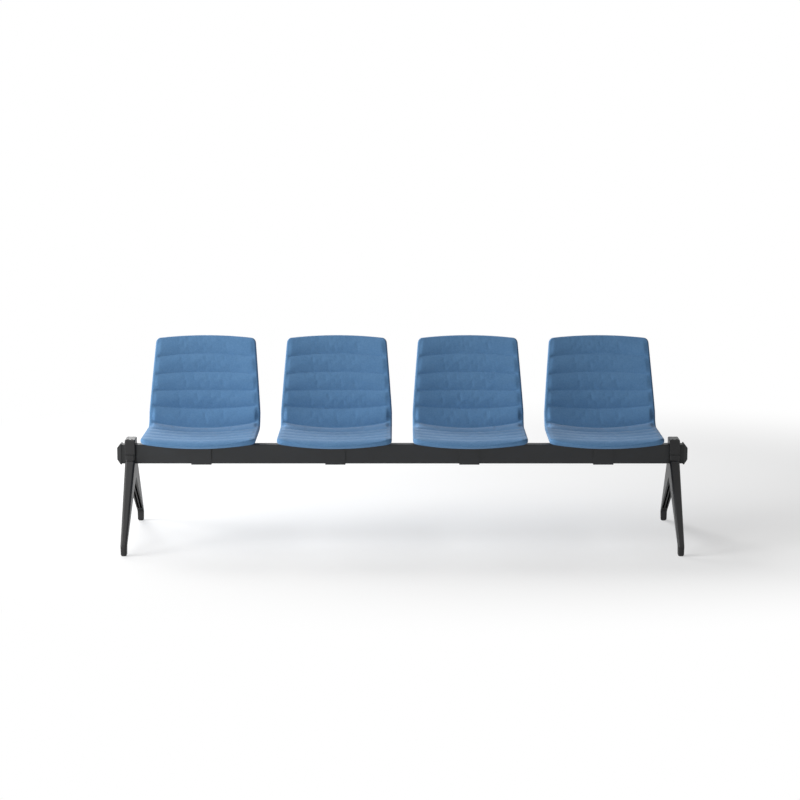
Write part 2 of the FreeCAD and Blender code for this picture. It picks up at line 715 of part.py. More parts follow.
def make_seat_shapes(form):
    shell_front = size("pad_thickness") + size("layer_gap")
    shell_rear = shell_front + size("shell_thickness")
    cover_front = shell_rear + size("layer_gap")
    cover_rear = cover_front + size("cover_thickness")
    inset = size("shell_inset")
    hollow_inset = inset - size("rim_gap")

    # the pad wraps the shell's rim, so the shell lies in a hollow of the pad
    pad_shape = form.layer(0, shell_rear, 0, size("pad_draw"), crowned=True)
    hollow = form.layer(size("pad_thickness"), shell_rear + size("shell_thickness"),
                        hollow_inset, hollow_inset)
    pad_shape = pad_shape.cut(hollow)

    # the shell has four bosses down to the carrier, each with a bore for its insert
    shell_shape = form.layer(shell_front, shell_rear, inset, inset)
    low = size("carrier_top")
    bosses = []
    bores = []
    for x, y in boss_places():
        middle = form.height(x, y, (shell_front + shell_rear) / 2)
        bosses.append(Part.makeCylinder(size("boss_radius"), middle - low, V(x, y, low)))
        bores.append(Part.makeCylinder(size("insert_radius") + size("thread_clearance"),
                                       size("layer_gap") + size("insert_length") + size("insert_spare"),
                                       V(x, y, low)))
    shell_shape = shell_shape.fuse(bosses).cut(bores)

    cover_shape = form.layer(cover_front, cover_rear, size("cover_inset"), size("cover_inset"))
    around = [Part.makeCylinder(size("boss_radius") + size("boss_clearance"), cover_rear * 2, V(x, y, low))
              for x, y in boss_places()]
    cover_shape = cover_shape.cut(around)
    return {"seat_pad": pad_shape, "seat_shell": shell_shape, "seat_cover": cover_shape}


def single(shape):
    return shape.Solids[0] if len(shape.Solids) == 1 else shape


make_beam()
half_turn = (Z_AXIS, 180)
over = (X_AXIS, 180)
for side_name, sign, turn in (("left", "-", half_turn), ("right", "", None)):
    make_cap("end_cap_" + side_name, sign, turn)
    make_leg("leg_" + side_name, sign, turn)
    make_clamp("leg_clamp_" + side_name, sign)
    make_screws("clamp_screws_" + side_name, "clamp_radius",
                "head_top - clamp_sink - head_joint + clamp_grip - clamp_spare", "clamp_head",
                "clamp_head_height", "clamp_across", "clamp_apart",
                "%sleg_spacing / 2 - clamp_across / 2" % sign, "-clamp_apart / 2",
                "head_top - clamp_sink")
    for end_name, end in (("front", "-"), ("rear", "")):
        make_glide("%s_%s" % (end_name, side_name), sign, end)

seat_form = SeatForm()
seat_shapes = make_seat_shapes(seat_form)
for number, step in enumerate(seat_places, start=1):
    x = "%s * seat_spacing" % step
    for name, shape in seat_shapes.items():
        feature = doc.addObject("Part::Feature", "%s_%d" % (name, number))
        feature.Shape = single(shape)
        keep(feature, "%s_%d" % (name, number), x=x)
    make_inserts("shell_inserts_%d" % number, x)
    make_carrier("seat_carrier_%d" % number, x)
    make_strap("beam_strap_%d" % number, x)
    make_screws("seat_screws_%d" % number, "seat_screw_radius", "seat_screw_length",
                "seat_screw_head", "seat_screw_head_height", "boss_across", "boss_apart",
                x + " - boss_across / 2", "boss_apart / 2", "beam_top", over)
    make_screws("strap_screws_%d" % number, "seat_screw_radius", "strap_thickness + carrier_thickness",
                "seat_screw_head", "seat_screw_head_height", "strap_screw_across",
                "strap_screw_apart", x + " - strap_screw_across / 2",
                "strap_screw_apart / 2", "beam_top - strap_thickness", over)

# Every object has to be sound before anything is written
doc.recompute()
for obj in doc.Objects:
    if "Invalid" in obj.State or "Error" in obj.State:
        raise RuntimeError("%s is not sound: %s" % (obj.Label, obj.State))
for node in nodes:
    if node.Shape.isNull() or not node.Shape.isValid():
        raise RuntimeError(node.Label + " has no valid shape")

os.makedirs("parts", exist_ok=True)
for node in nodes:
    node.Shape.exportStep("parts/%s.step" % node.Label)
    print("%-22s %2d solids %12.1f mm3" % (node.Label, len(node.Shape.Solids), node.Shape.Volume))
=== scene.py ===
import bmesh
import bpy
import math
from mathutils import Matrix, Vector


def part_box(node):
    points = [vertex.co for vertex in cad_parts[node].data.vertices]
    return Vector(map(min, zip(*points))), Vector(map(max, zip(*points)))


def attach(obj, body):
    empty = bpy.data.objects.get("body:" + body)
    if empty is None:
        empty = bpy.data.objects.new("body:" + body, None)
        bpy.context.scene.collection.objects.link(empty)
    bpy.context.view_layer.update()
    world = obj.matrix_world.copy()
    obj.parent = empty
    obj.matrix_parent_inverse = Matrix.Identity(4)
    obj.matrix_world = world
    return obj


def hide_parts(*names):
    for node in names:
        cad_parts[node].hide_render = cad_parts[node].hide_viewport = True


# Four upholstered seats on a beam: the frame's metal and plastic parts get their
# finish here, and the seat pads and rear covers are sewn and padded pieces.
# Lengths are in metres, angles in degrees.

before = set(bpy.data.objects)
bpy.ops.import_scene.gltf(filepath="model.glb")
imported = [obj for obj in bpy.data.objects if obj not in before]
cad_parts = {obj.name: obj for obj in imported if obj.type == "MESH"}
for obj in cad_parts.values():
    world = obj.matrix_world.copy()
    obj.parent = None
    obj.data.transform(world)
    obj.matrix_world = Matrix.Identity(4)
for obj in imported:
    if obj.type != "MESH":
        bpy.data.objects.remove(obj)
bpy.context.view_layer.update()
seatNumbers = [int(name[-1]) for name in sorted(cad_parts) if name.startswith("seat_pad_")]
print("frame loaded with", len(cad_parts), "nodes and", len(seatNumbers), "seats")


# Small helpers for colours, nodes and objects
def fromHex(code):
    # an sRGB hex colour as the linear colour that a shader takes
    shares = [int(code[k:k + 2], 16) / 255 for k in (1, 3, 5)]
    return [c / 12.92 if c <= 0.04045 else ((c + 0.055) / 1.055) ** 2.4 for c in shares] + [1]


def addNode(tree, kind, settings=None, links=None):
    # one node: settings are socket values or the node's own options, links are outputs
    node = tree.nodes.new(kind)
    for key, value in (settings or {}).items():
        if isinstance(key, int) or key in node.inputs:
            node.inputs[key].default_value = value
        else:
            setattr(node, key, value)
    for key, output in (links or {}).items():
        tree.links.new(output, node.inputs[key])
    return node


def startMaterial(name, colour, settings):
    material = bpy.data.materials.new(name)
    material.use_nodes = True
    material.diffuse_color = fromHex(colour)
    shader = material.node_tree.nodes["Principled BSDF"]
    shader.inputs["Base Color"].default_value = fromHex(colour)
    for key, value in settings.items():
        shader.inputs[key].default_value = value
    return material, material.node_tree, shader


def scaleFor(spacing):
    # noise has about one blotch for each unit
    return 1 / spacing


def waveScaleFor(spacing):
    # a band of the wave texture is pi / 10 wide at scale 1
    return math.pi / 10 / spacing


def addObject(name, data):
    added = bpy.data.objects.new(name, data)
    bpy.context.scene.collection.objects.link(added)
    return added


def meshObject(name, bm, smooth=False):
    mesh = bpy.data.meshes.new(name)
    bm.to_mesh(mesh)
    bm.free()
    for face in mesh.polygons:
        face.use_smooth = smooth
    return addObject(name, mesh)


# Upholstery: wool blend in a plain weave, matte with a short nap that lightens at a
# grazing view. Its threads are drawn coarser than real ones, so that they show.
weave = {
    "thread": 0.0032,
    "waver": 0.4,
    "blotch": 0.07,
    "yarnMix": 0.006,
    "blotchShare": 0.25,
    "yarnShare": 0.45,
    "threadShare": 0.3,
    "threadRelief": 0.00025,
    "reliefStrength": 0.6,
    "darkBelow": 0.1,
    "lightAbove": 0.6,
}


def makeWovenWool(name, light, dark):
    material, tree, shader = startMaterial(name, light, {
        "Roughness": 0.9, "Specular IOR Level": 0.18, "Sheen Weight": 0.22,
        "Sheen Roughness": 0.45})
    place = addNode(tree, "ShaderNodeTexCoord")
    warp, weft = [addNode(tree, "ShaderNodeTexWave", {
        "bands_direction": direction, "Scale": waveScaleFor(weave["thread"]),
        "Distortion": weave["waver"], "Detail": 1}, {"Vector": place.outputs["UV"]})
        for direction in ("X", "Y")]
    threads = addNode(tree, "ShaderNodeMath", {"operation": "MULTIPLY"}, {
        0: warp.outputs["Fac"], 1: weft.outputs["Fac"]})
    yarn = addNode(tree, "ShaderNodeTexNoise", {
        "Scale": scaleFor(weave["yarnMix"]), "Detail": 3}, {"Vector": place.outputs["Object"]})
    blotch = addNode(tree, "ShaderNodeTexNoise", {
        "Scale": scaleFor(weave["blotch"]), "Detail": 2}, {"Vector": place.outputs["Object"]})
    cloud = addNode(tree, "ShaderNodeMath", {
        "operation": "MULTIPLY", 1: weave["blotchShare"]}, {0: blotch.outputs["Fac"]})
    mixed = addNode(tree, "ShaderNodeMath", {
        "operation": "MULTIPLY_ADD", 1: weave["yarnShare"]}, {
        0: yarn.outputs["Fac"], 2: cloud.outputs["Value"]})
    shade = addNode(tree, "ShaderNodeMath", {
        "operation": "MULTIPLY_ADD", 1: weave["threadShare"]}, {
        0: threads.outputs["Value"], 2: mixed.outputs["Value"]})
    ramp = addNode(tree, "ShaderNodeValToRGB", {}, {"Fac": shade.outputs["Value"]})
    stops = ((weave["darkBelow"], dark), (weave["lightAbove"], light))
    for stop, (position, colour) in zip(ramp.color_ramp.elements, stops):
        stop.position = position
        stop.color = fromHex(colour)
    bump = addNode(tree, "ShaderNodeBump", {
        "Strength": weave["reliefStrength"], "Distance": weave["threadRelief"]}, {
        "Height": threads.outputs["Value"]})
    tree.links.new(ramp.outputs["Color"], shader.inputs["Base Color"])
    tree.links.new(bump.outputs["Normal"], shader.inputs["Normal"])
    return material


# Hard finishes share one build: a fine skin of grain over a plain colour, and wider clouds
# of wear in the colour and the roughness
skinForm = {
    "cloudPerGrain": 40,
    "smoother": 0.04,
    "rougher": 0.06,
    "reliefStrength": 0.5,
}


def makeHardFinish(name, colour, worn, grain, relief, settings):
    material, tree, shader = startMaterial(name, colour, settings)
    place = addNode(tree, "ShaderNodeTexCoord")
    skin = addNode(tree, "ShaderNodeTexNoise", {
        "Scale": scaleFor(grain), "Detail": 2}, {"Vector": place.outputs["Object"]})
    cloud = addNode(tree, "ShaderNodeTexNoise", {
        "Scale": scaleFor(grain * skinForm["cloudPerGrain"]), "Detail": 3}, {
        "Vector": place.outputs["Object"]})
    tint = addNode(tree, "ShaderNodeMix", {
        "data_type": "RGBA", "A": fromHex(colour), "B": fromHex(worn)}, {
        "Factor": cloud.outputs["Fac"]})
    rough = addNode(tree, "ShaderNodeMapRange", {
        "To Min": settings["Roughness"] - skinForm["smoother"],
        "To Max": settings["Roughness"] + skinForm["rougher"]}, {"Value": cloud.outputs["Fac"]})
    bump = addNode(tree, "ShaderNodeBump", {
        "Strength": skinForm["reliefStrength"], "Distance": relief}, {
        "Height": skin.outputs["Fac"]})
    tree.links.new(tint.outputs[2], shader.inputs["Base Color"])
    tree.links.new(rough.outputs["Result"], shader.inputs["Roughness"])
    tree.links.new(bump.outputs["Normal"], shader.inputs["Normal"])
    return material


finishes = {
    # powder-coated steel: a satin black skin with very fine orange peel
    "beamCoat": makeHardFinish("powder_coated_steel", "#2f3031", "#333435", 0.0015, 0.00002, {
        "Roughness": 0.48, "Specular IOR Level": 0.28}),
    # powder-coated aluminium casting: the same black with a slightly coarser skin
    "legCoat": makeHardFinish("powder_coated_casting", "#19191a", "#1e1e1f", 0.002, 0.00004, {
        "Roughness": 0.42, "Specular IOR Level": 0.35}),
    # moulded polypropylene with a fine spark-eroded grain
    "capPlastic": makeHardFinish("moulded_polypropylene", "#18191a", "#1d1e1f", 0.0012, 0.00004, {
        "Roughness": 0.5, "Specular IOR Level": 0.35}),
    # moulded nylon of the feet, a little glossier
    "footNylon": makeHardFinish("moulded_nylon", "#1b1b1c", "#202021", 0.0012, 0.00002, {
        "Roughness": 0.38, "Specular IOR Level": 0.5}),
    # black-oxide steel of the screws and studs
    "screwSteel": makeHardFinish("black_oxide_steel", "#4a4b4d", "#57585b", 0.001, 0.00001, {
        "Roughness": 0.34, "Metallic": 1.0}),
    # twisted polyester sewing thread, a little glossier and darker than the cloth
    "thread": makeHardFinish("polyester_thread", "#456f9e", "#517ba9", 0.0008, 0.00008, {
        "Roughness": 0.55, "Specular IOR Level": 0.4}),
    # turned brass of the inserts
    "brass": makeHardFinish("turned_brass", "#b08d3e", "#c39f4e", 0.001, 0.00001, {
        "Roughness": 0.28, "Metallic": 1.0}),
}
# dyed wool blend, front and rear from the same roll
seatWool, rearWool = [makeWovenWool(name, "#6b96c0", "#4f7ba8")
                      for name in ("woven_wool_seat", "woven_wool_rear")]
print("materials made")

# Which finish each CAD node shows, by the first words of its name
nodeFinish = {
    "beam_tube": "beamCoat",
    "beam_strap": "beamCoat",
    "seat_carrier": "beamCoat",
    "leg_": "legCoat",
    "end_cap": "capPlastic",
    "seat_shell": "capPlastic",
    "glide_pad": "footNylon",
    "glide_stud": "screwSteel",
    "clamp_screws": "screwSteel",
    "seat_screws": "screwSteel",
    "strap_screws": "screwSteel",
    "shell_inserts": "brass",
}
for name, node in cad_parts.items():
    for words, finish in nodeFinish.items():
        if name.startswith(words):
            for slot in node.material_slots:
                slot.material = finishes[finish]
print("frame finished")


# The seat's surface: a side view with lip, seat, bend and back, and at each place along
# it an arc from one side edge through the middle line to the other side edge
seatForm = {
    "gapToCarrier": 0.008,
    "padThickness": 0.014,
    "shellThickness": 0.006,
    "coverThickness": 0.002,
    "layerGap": 0.0004,
    "seatTilt": 2.9,
    "seatFront": 0.181,
    "lipRadius": 0.038,
    "lipAngle": 52,
    "sideRise": 0.017,
    "sideTilt": 1.5,
    "sideBendRadius": 0.052,
    "bendSetback": 0.128,
    "backRecline": 19,
    "backLength": 0.3475,
    "topDish": 0.0135,
    "frontWidth": 0.465,
    "seatWidth": 0.464,
    "topWidth": 0.417,
    "taperLead": 0.72,
    "frontBow": 0.026,
    "frontCorner": 0.035,
    "topArch": 0.0155,
    "topCorner": 0.017,
    "seamSmile": 0.010,
    "smileReach": 0.115,
    "channels": 10,
    # seams that don't lie at an even pitch, and how far a seam's ends lie before its middle
    "seamMove": {4: -0.006, 5: -0.011},
    "endDrop": {5: -0.013, 6: -0.005, 7: 0.001, 8: 0.006, 9: 0.007},
    "topRimShare": 0.5,
    "frontRimShare": 0.45,
}


def away(slope):
    return Vector((0, -math.sin(slope), math.cos(slope)))


def onward(slope):
    return Vector((0, math.cos(slope), math.sin(slope)))


class SeatSurface:
    def __init__(self, form, carrierTop):
        self.form = form
        self.tilt = math.radians(form["seatTilt"])
        self.sideTilt = math.radians(form["sideTilt"])
        self.backAngle = math.radians(90 - form["backRecline"])
        self.lipAngle = math.radians(form["lipAngle"])
        layers = (form["padThickness"] + form["shellThickness"] + form["coverThickness"]
                  + 2 * form["layerGap"])
        self.height = carrierTop + form["gapToCarrier"] + layers
        self.sideHeight = self.height + form["sideRise"]
        setback = form["bendSetback"]
        self.centre = Vector((0, setback, self.sideHeight + (
            form["sideBendRadius"] - setback * math.sin(self.sideTilt)) / math.cos(self.sideTilt)))
        self.bendRadius = (setback * math.sin(self.tilt)
                           + (self.centre.z - self.height) * math.cos(self.tilt))
        self.bendStart = self.centre - away(-self.tilt) * self.bendRadius
        self.lipEnd = form["lipRadius"] * (self.lipAngle + self.tilt)
        self.seatEnd = self.lipEnd + (self.bendStart.y + form["seatFront"]) / math.cos(self.tilt)
        self.bendEnd = self.seatEnd + self.bendRadius * (self.backAngle + self.tilt)
        self.total = self.bendEnd + form["backLength"]
        self.pitch = self.total / form["channels"]

    def middle(self, along):
        # the point of the middle line at a length from the lip, and its slope there
        if along < self.seatEnd:
            flat = self.seatEnd - max(along, self.lipEnd)
            point = self.bendStart - onward(-self.tilt) * flat
            if along >= self.lipEnd:
                return point, -self.tilt
            radius = self.form["lipRadius"]
            slope = self.lipAngle - along / radius
            return point - away(-self.tilt) * radius + away(slope) * radius, slope
        slope = min(-self.tilt + (along - self.seatEnd) / self.bendRadius, self.backAngle)
        straight = max(along - self.bendEnd, 0)
        return self.centre - away(slope) * self.bendRadius + onward(slope) * straight, slope

    def backShare(self, along):
        return max(along - self.bendEnd, 0) / self.form["backLength"]

    def halfWidth(self, along):
        form = self.form
        if along < self.seatEnd:
            wider = form["seatWidth"] - form["frontWidth"]
            return (form["frontWidth"] + wider * along / self.seatEnd) / 2
        share = self.backShare(along)
        drop = form["seatWidth"] - form["topWidth"]
        lead = form["taperLead"]
        return (form["seatWidth"] - drop * share * (lead + (1 - lead) * share)) / 2

    def sideEdge(self, along):
        # the side edge's point that belongs to a length, and the way out of the surface there
        form = self.form
        point, slope = self.middle(along)
        if along < self.seatEnd:
            up = away(-self.sideTilt)
            rise = up.dot(Vector((0, 0, self.sideHeight)) - point)
            share = (self.seatEnd - along) / self.seatEnd
            return point + up * rise + onward(-self.sideTilt) * form["frontBow"] * share ** 2, up
        share = self.backShare(along)
        deep = self.bendRadius - form["sideBendRadius"]
        rise = deep + (form["topDish"] - deep) * share
        lift = min((along - self.seatEnd) / (self.bendEnd - self.seatEnd),
                   max(1 - (along - self.bendEnd) / form["smileReach"], 0))
        shift = form["seamSmile"] * lift - form["topArch"] * share
        return point + away(slope) * rise + onward(slope) * shift, away(slope)

    def point(self, across, along, depth):
        # a point under the surface: across from the middle, along from the lip
        middle, slope = self.middle(along)
        side, up = self.sideEdge(along)
        middle = middle - away(slope) * depth
        side = side - up * depth
        spot = middle + (side - middle) * (across / self.halfWidth(along)) ** 2
        return Vector((across, spot.y, spot.z))

    def seamAt(self, channel):
        return channel * self.pitch + self.form["seamMove"].get(channel, 0)

    def endDrop(self, channel, share):
        # how much lower a seam ends at the sides than in the middle, eased from seam to seam
        drops = self.form["endDrop"]
        before, after = drops.get(channel, 0), drops.get(channel + 1, 0)
        return before + (after - before) * share

    def bridge(self, across, along, channel, share):
        # how far a channel stretched straight between its seams stands off a hollow surface
        ends = [self.point(across, min(max(self.seamAt(k), 0), self.total), 0)
                for k in (channel, channel + 1)]
        straight = ends[0].lerp(ends[1], share)
        slope = self.middle(along)[1]
        return max((straight - self.point(across, along, 0)).dot(away(slope)), 0)

    def spread(self, shareAcross, shareAlong, inset):
        # a place of a square grid, brought inside the rounded outline with the seams in step
        channels = self.form["channels"]
        atTop = shareAlong > 0.5
        endInset = inset * self.form["topRimShare" if atTop else "frontRimShare"]
        channel = min(int(shareAlong * channels), channels - 1)
        share = shareAlong * channels - channel
        start = endInset if channel == 0 else self.seamAt(channel)
        end = self.total - endInset if channel == channels - 1 else self.seamAt(channel + 1)
        along = start + (end - start) * share
        half = self.halfWidth(along) - inset
        across = shareAcross * half
        radius = self.form["topCorner" if atTop else "frontCorner"]
        corner, cornerEnd = radius - inset, radius - endInset
        fromEnd = (self.total - along if atTop else along) - endInset
        fromSide = half - abs(across)
        if corner > 0 and fromEnd < cornerEnd and fromSide < corner:
            out = 1 - fromSide / corner
            on = 1 - fromEnd / cornerEnd
            side = half - corner + corner * out * math.sqrt(1 - on ** 2 / 2)
            end = cornerEnd - cornerEnd * on * math.sqrt(1 - out ** 2 / 2) + endInset
            across = math.copysign(side, across)
            along = self.total - end if atTop else end
        return across, along - self.endDrop(channel, share) * shareAcross ** 2


surface = SeatSurface(seatForm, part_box("seat_carrier_1")[1].z)
print("seat surface: %.0f mm along, bend radius %.1f mm" % (
    surface.total * 1000, surface.bendRadius * 1000))


# how near the end of its share a point of the grid lies to count as being on the edge
edgeShare = 0.0001


# A closed layer of a seat: an outer sheet, a rim of rings and a back sheet
def makeLayer(name, columns, rowsPerChannel, outer, rings, back, relief):
    # outer, rings and back are insets and depths; relief is taken off the outer sheet's
    # depth, and gets the place across and along, the channel and the share of it
    rows = rowsPerChannel * seatForm["channels"]
    bm = bmesh.new()
    bmesh.ops.create_grid(bm, x_segments=columns, y_segments=rows, size=1)
    doubled = bmesh.ops.extrude_face_region(bm, geom=bm.faces[:], use_keep_orig=True)
    lowered = [item for item in doubled["geom"] if isinstance(item, bmesh.types.BMVert)]
    bmesh.ops.translate(bm, verts=lowered, vec=(0, 0, -1))
    walls = [edge for edge in bm.edges
             if abs(edge.verts[0].co.z - edge.verts[1].co.z) > 0.5]
    bmesh.ops.subdivide_edges(bm, edges=walls, cuts=len(rings), use_grid_fill=True)
    levels = [outer] + rings + [back]
    travel = [0]
    for before, after in zip(levels, levels[1:]):
        travel.append(travel[-1] + math.dist(before, after))
    sewn = bm.verts.layers.float.new("sewn")
    rowOf = bm.verts.layers.int.new("seamRow")
    flatPlace = {}
    for vert in bm.verts:
        level = round(-vert.co.z * (len(levels) - 1))
        shareAcross = vert.co.x
        shareAlong = (vert.co.y + 1) / 2
        inset, depth = levels[level]
        across, along = surface.spread(shareAcross, shareAlong, inset)
        onSide = abs(shareAcross) > 1 - edgeShare
        onEnd = min(shareAlong, 1 - shareAlong) < edgeShare
        channel, step = divmod(round(shareAlong * rows), rowsPerChannel)
        seam = step == 0 and 0 < channel < seatForm["channels"]
        vert[rowOf] = channel if seam and level == 0 else 0
        if level == 0:
            depth -= relief(across, along, channel, step / rowsPerChannel)
        vert[sewn] = 1 if level > 0 or onSide or onEnd else 0
        rim = travel[level] if level < len(levels) - 1 else 0
        flatPlace[vert] = (across + (math.copysign(rim, across) if onSide else 0),
                           along + (math.copysign(rim, shareAlong - 0.5) if onEnd else 0))
        vert.co = surface.point(across, along, depth)
    uv = bm.loops.layers.uv.new("weave")
    for face in bm.faces:
        for loop in face.loops:
            loop[uv].uv = flatPlace[loop.vert]
    bmesh.ops.recalc_face_normals(bm, faces=bm.faces)
    return meshObject(name, bm, smooth=True)


def smoothStep(value, start, end):
    share = min(max((value - start) / (end - start), 0), 1)
    return share * share * (3 - 2 * share)


# Front pad: foam under ten sewn channels, wrapped round the shell's rim
pad = {
    "columns": 74,
    "rowsPerChannel": 12,
    "rimRound": 0.009,
    "rimSteps": 4,
    "rearRound": 0.003,
    "rearRoundShare": 0.3,
    "hollowInset": 0.0072,
    "crown": 0.0031,
    "bridged": 0.9,
    "seamSink": 0.0022,
    "seamStartsIn": 0.011,
    "crownFullAt": 0.024,
    "seamSharpness": 0.6,
}
shellRear = seatForm["padThickness"] + seatForm["layerGap"] + seatForm["shellThickness"]

# Small gathers along the seams: two ripples of unlike length, which start elsewhere in each
# channel and die away from the seam
gather = {
    "depth": 0.0003,
    "spacing": 0.034,
    "channelTurn": 2.1,
    "secondShare": 0.7,
    "secondPitch": 1.73,
    "secondChannelTurn": 4.3,
    "secondSlant": 3,
    "fade": 6,
}


def gatherRelief(across, channel, share):
    turn = 2 * math.pi * across / gather["spacing"]
    second = (gather["secondPitch"] * turn + gather["secondChannelTurn"] * channel
              + gather["secondSlant"] * share)
    ripple = (math.sin(turn + gather["channelTurn"] * channel)
              + gather["secondShare"] * math.sin(second))
    fade = math.exp(-gather["fade"] * min(share, 1 - share)) * math.sin(math.pi * share)
    return gather["depth"] * ripple * fade


def padRelief(across, along, channel, share):
    fromSide = surface.halfWidth(along) - abs(across)
    fullness = smoothStep(fromSide, pad["seamStartsIn"], pad["crownFullAt"])
    if share == 0:
        atSeam = 0 < channel < seatForm["channels"]
        return -pad["seamSink"] * fullness if atSeam else 0
    crown = pad["crown"] * 4 * share * (1 - share) + gatherRelief(across, channel, share)
    bridge = pad["bridged"] * surface.bridge(across, along, channel, share)
    return (crown + bridge) * fullness


def makePad():
    rings = []
    for step in range(1, pad["rimSteps"] + 1):
        turn = math.pi / 2 * step / pad["rimSteps"]
        rings.append((pad["rimRound"] * (1 - math.sin(turn)),
                      pad["rimRound"] * (1 - math.cos(turn))))
    small, part = pad["rearRound"], pad["rearRoundShare"]
    rings.append((0, shellRear - 2 * small))
    rings.append((small * part, shellRear - small * (1 - part)))
    rings.append((small, shellRear))
    rings.append((pad["hollowInset"], shellRear))
    return makeLayer("cushion_form", pad["columns"], pad["rowsPerChannel"],
                     (pad["rimRound"], 0), rings,
                     (pad["hollowInset"], seatForm["padThickness"]), padRelief)


def sewSeams(piece):
    # the seam rows are held down, except in the smooth border beside the side edges
    held = piece.data.attributes["sewn"].data
    rows = piece.data.attributes["seamRow"].data
    for index, entry in enumerate(rows):
        fromSide = (surface.halfWidth(surface.seamAt(entry.value))
                    - abs(piece.data.vertices[index].co.x))
        if entry.value and fromSide > pad["seamStartsIn"]:
            held[index].value = 1


# The cover as cloth under a light pressure from inside, held where it is sewn. It is nearly
# taut, so that it rounds the channels without upright wrinkles. No point moves further
# than the cap.
cloth = {
    "quality": 5,
    "mass": 0.3,
    "tension": 15,
    "compression": 15,
    "shear": 5,
    "bending": 2,
    "pressure": 3,
    "slack": 0.001,
    "cap": 0.004,
    "frames": 20,
}


def puff(piece):
    group = piece.vertex_groups.new(name="sewn")
    held = piece.data.attributes["sewn"].data
    for index, entry in enumerate(held):
        group.add([index], entry.value, "REPLACE")
    modifier = piece.modifiers.new("puff", "CLOTH")
    settings = modifier.settings
    settings.quality = cloth["quality"]
    settings.mass = cloth["mass"]
    settings.tension_stiffness = cloth["tension"]
    settings.compression_stiffness = cloth["compression"]
    settings.shear_stiffness = cloth["shear"]
    settings.bending_stiffness = cloth["bending"]
    settings.vertex_group_mass = "sewn"
    settings.shrink_min = -cloth["slack"]
    settings.use_pressure = True
    settings.uniform_pressure_force = cloth["pressure"]
    settings.effector_weights.gravity = 0
    modifier.collision_settings.use_collision = False
    modifier.point_cache.frame_start = 1
    modifier.point_cache.frame_end = cloth["frames"]
    start = [vert.co.copy() for vert in piece.data.vertices]
    for step in range(1, cloth["frames"] + 1):
        bpy.context.scene.frame_set(step)
    shaped = piece.evaluated_get(bpy.context.evaluated_depsgraph_get()).to_mesh()
    moves = [vert.co - before for vert, before in zip(shaped.vertices, start)]
    furthest = max(move.length for move in moves)
    piece.modifiers.clear()
    piece.vertex_groups.clear()
    for vert, before, move in zip(piece.data.vertices, start, moves):
        if move.length > cloth["cap"]:
            move = move * (cloth["cap"] / move.length)
        vert.co = before + move
    piece.data.update()
    bpy.context.scene.frame_set(1)
    print(piece.name, "moved up to %.1f mm" % (furthest * 1000))


def creaseSeams(piece, sharpness):
    rows = piece.data.attributes["seamRow"].data
    crease = piece.data.attributes.new("crease_edge", "FLOAT", "EDGE")
    for edge in piece.data.edges:
        a, b = edge.vertices
        if rows[a].value and rows[a].value == rows[b].value:
            crease.data[edge.index].value = sharpness


def finishSoft(piece, wool):
    piece.data.materials.append(wool)
    smoother = piece.modifiers.new("smooth", "SUBSURF")
    smoother.levels = 1
    smoother.render_levels = 1
    for name in ("sewn", "seamRow"):
        piece.data.attributes.remove(piece.data.attributes[name])


cushion = makePad()
sewSeams(cushion)
puff(cushion)
creaseSeams(cushion, pad["seamSharpness"])
finishSoft(cushion, seatWool)
print("front pad made")

# Lockstitches along the bottom of each channel seam, drawn thicker than real thread, so
# that they show
stitch = {
    "pitch": 0.0075,
    "length": 0.0056,
    "thickness": 0.0011,
    "lift": 0.0002,
    "startsIn": 0.018,
    "around": 6,
    "lengthwise": 4,
}


def makeStitches():
    bm = bmesh.new()
    size = Matrix.Diagonal((stitch["length"] / 2, stitch["thickness"] / 2,
                            stitch["thickness"] / 2, 1))
    for channel in range(1, seatForm["channels"]):
        seam = surface.seamAt(channel)
        half = surface.halfWidth(seam)
        count = int(2 * (half - stitch["startsIn"]) / stitch["pitch"])
        for step in range(count + 1):
            across = (step - count / 2) * stitch["pitch"]
            ends = []
            for x in (across - stitch["length"] / 2, across + stitch["length"] / 2):
                along = seam - surface.endDrop(channel, 0) * (x / half) ** 2
                ends.append(surface.point(x, along, pad["seamSink"] - stitch["lift"]))
            way = (ends[1] - ends[0]).to_track_quat("X", "Z").to_matrix().to_4x4()
            middle = Matrix.Translation(ends[0].lerp(ends[1], 0.5))
            bmesh.ops.create_uvsphere(bm, u_segments=stitch["around"],
                                      v_segments=stitch["lengthwise"], radius=1,
                                      matrix=middle @ way @ size)
    piece = meshObject("stitch_form", bm, smooth=True)
    piece.data.materials.append(finishes["thread"])
    return piece


stitches = makeStitches()
print("channel stitching made")

# Rear cover: the same cloth stretched over the shell's back
cover = {
    "columns": 48,
    "rowsPerChannel": 7,
    "inset": 0.004,
    "round": 0.0008,
    "crown": 0.0012,
    "crownFullAt": 0.06,
    "bossHole": 0.0095,
    "bossAcross": 0.140,
    "bossApart": 0.090,
    "cutterDepth": 0.08,
    "cutterSides": 32,
}
coverFront = shellRear + seatForm["layerGap"]
coverRear = coverFront + seatForm["coverThickness"]


def coverRelief(across, along, channel, share):
    fromSide = surface.halfWidth(along) - abs(across)
    fromEnd = min(along, surface.total - along)
    edge = min(fromSide, fromEnd)
    return -cover["crown"] * smoothStep(edge, cover["inset"], cover["crownFullAt"])


def makeCover():
    rings = [(cover["inset"], coverRear - cover["round"]), (cover["inset"], coverFront)]
    sheetInset = cover["inset"] + cover["round"]
    return makeLayer("rear_form", cover["columns"], cover["rowsPerChannel"],
                     (sheetInset, coverRear), rings, (sheetInset, coverFront), coverRelief)


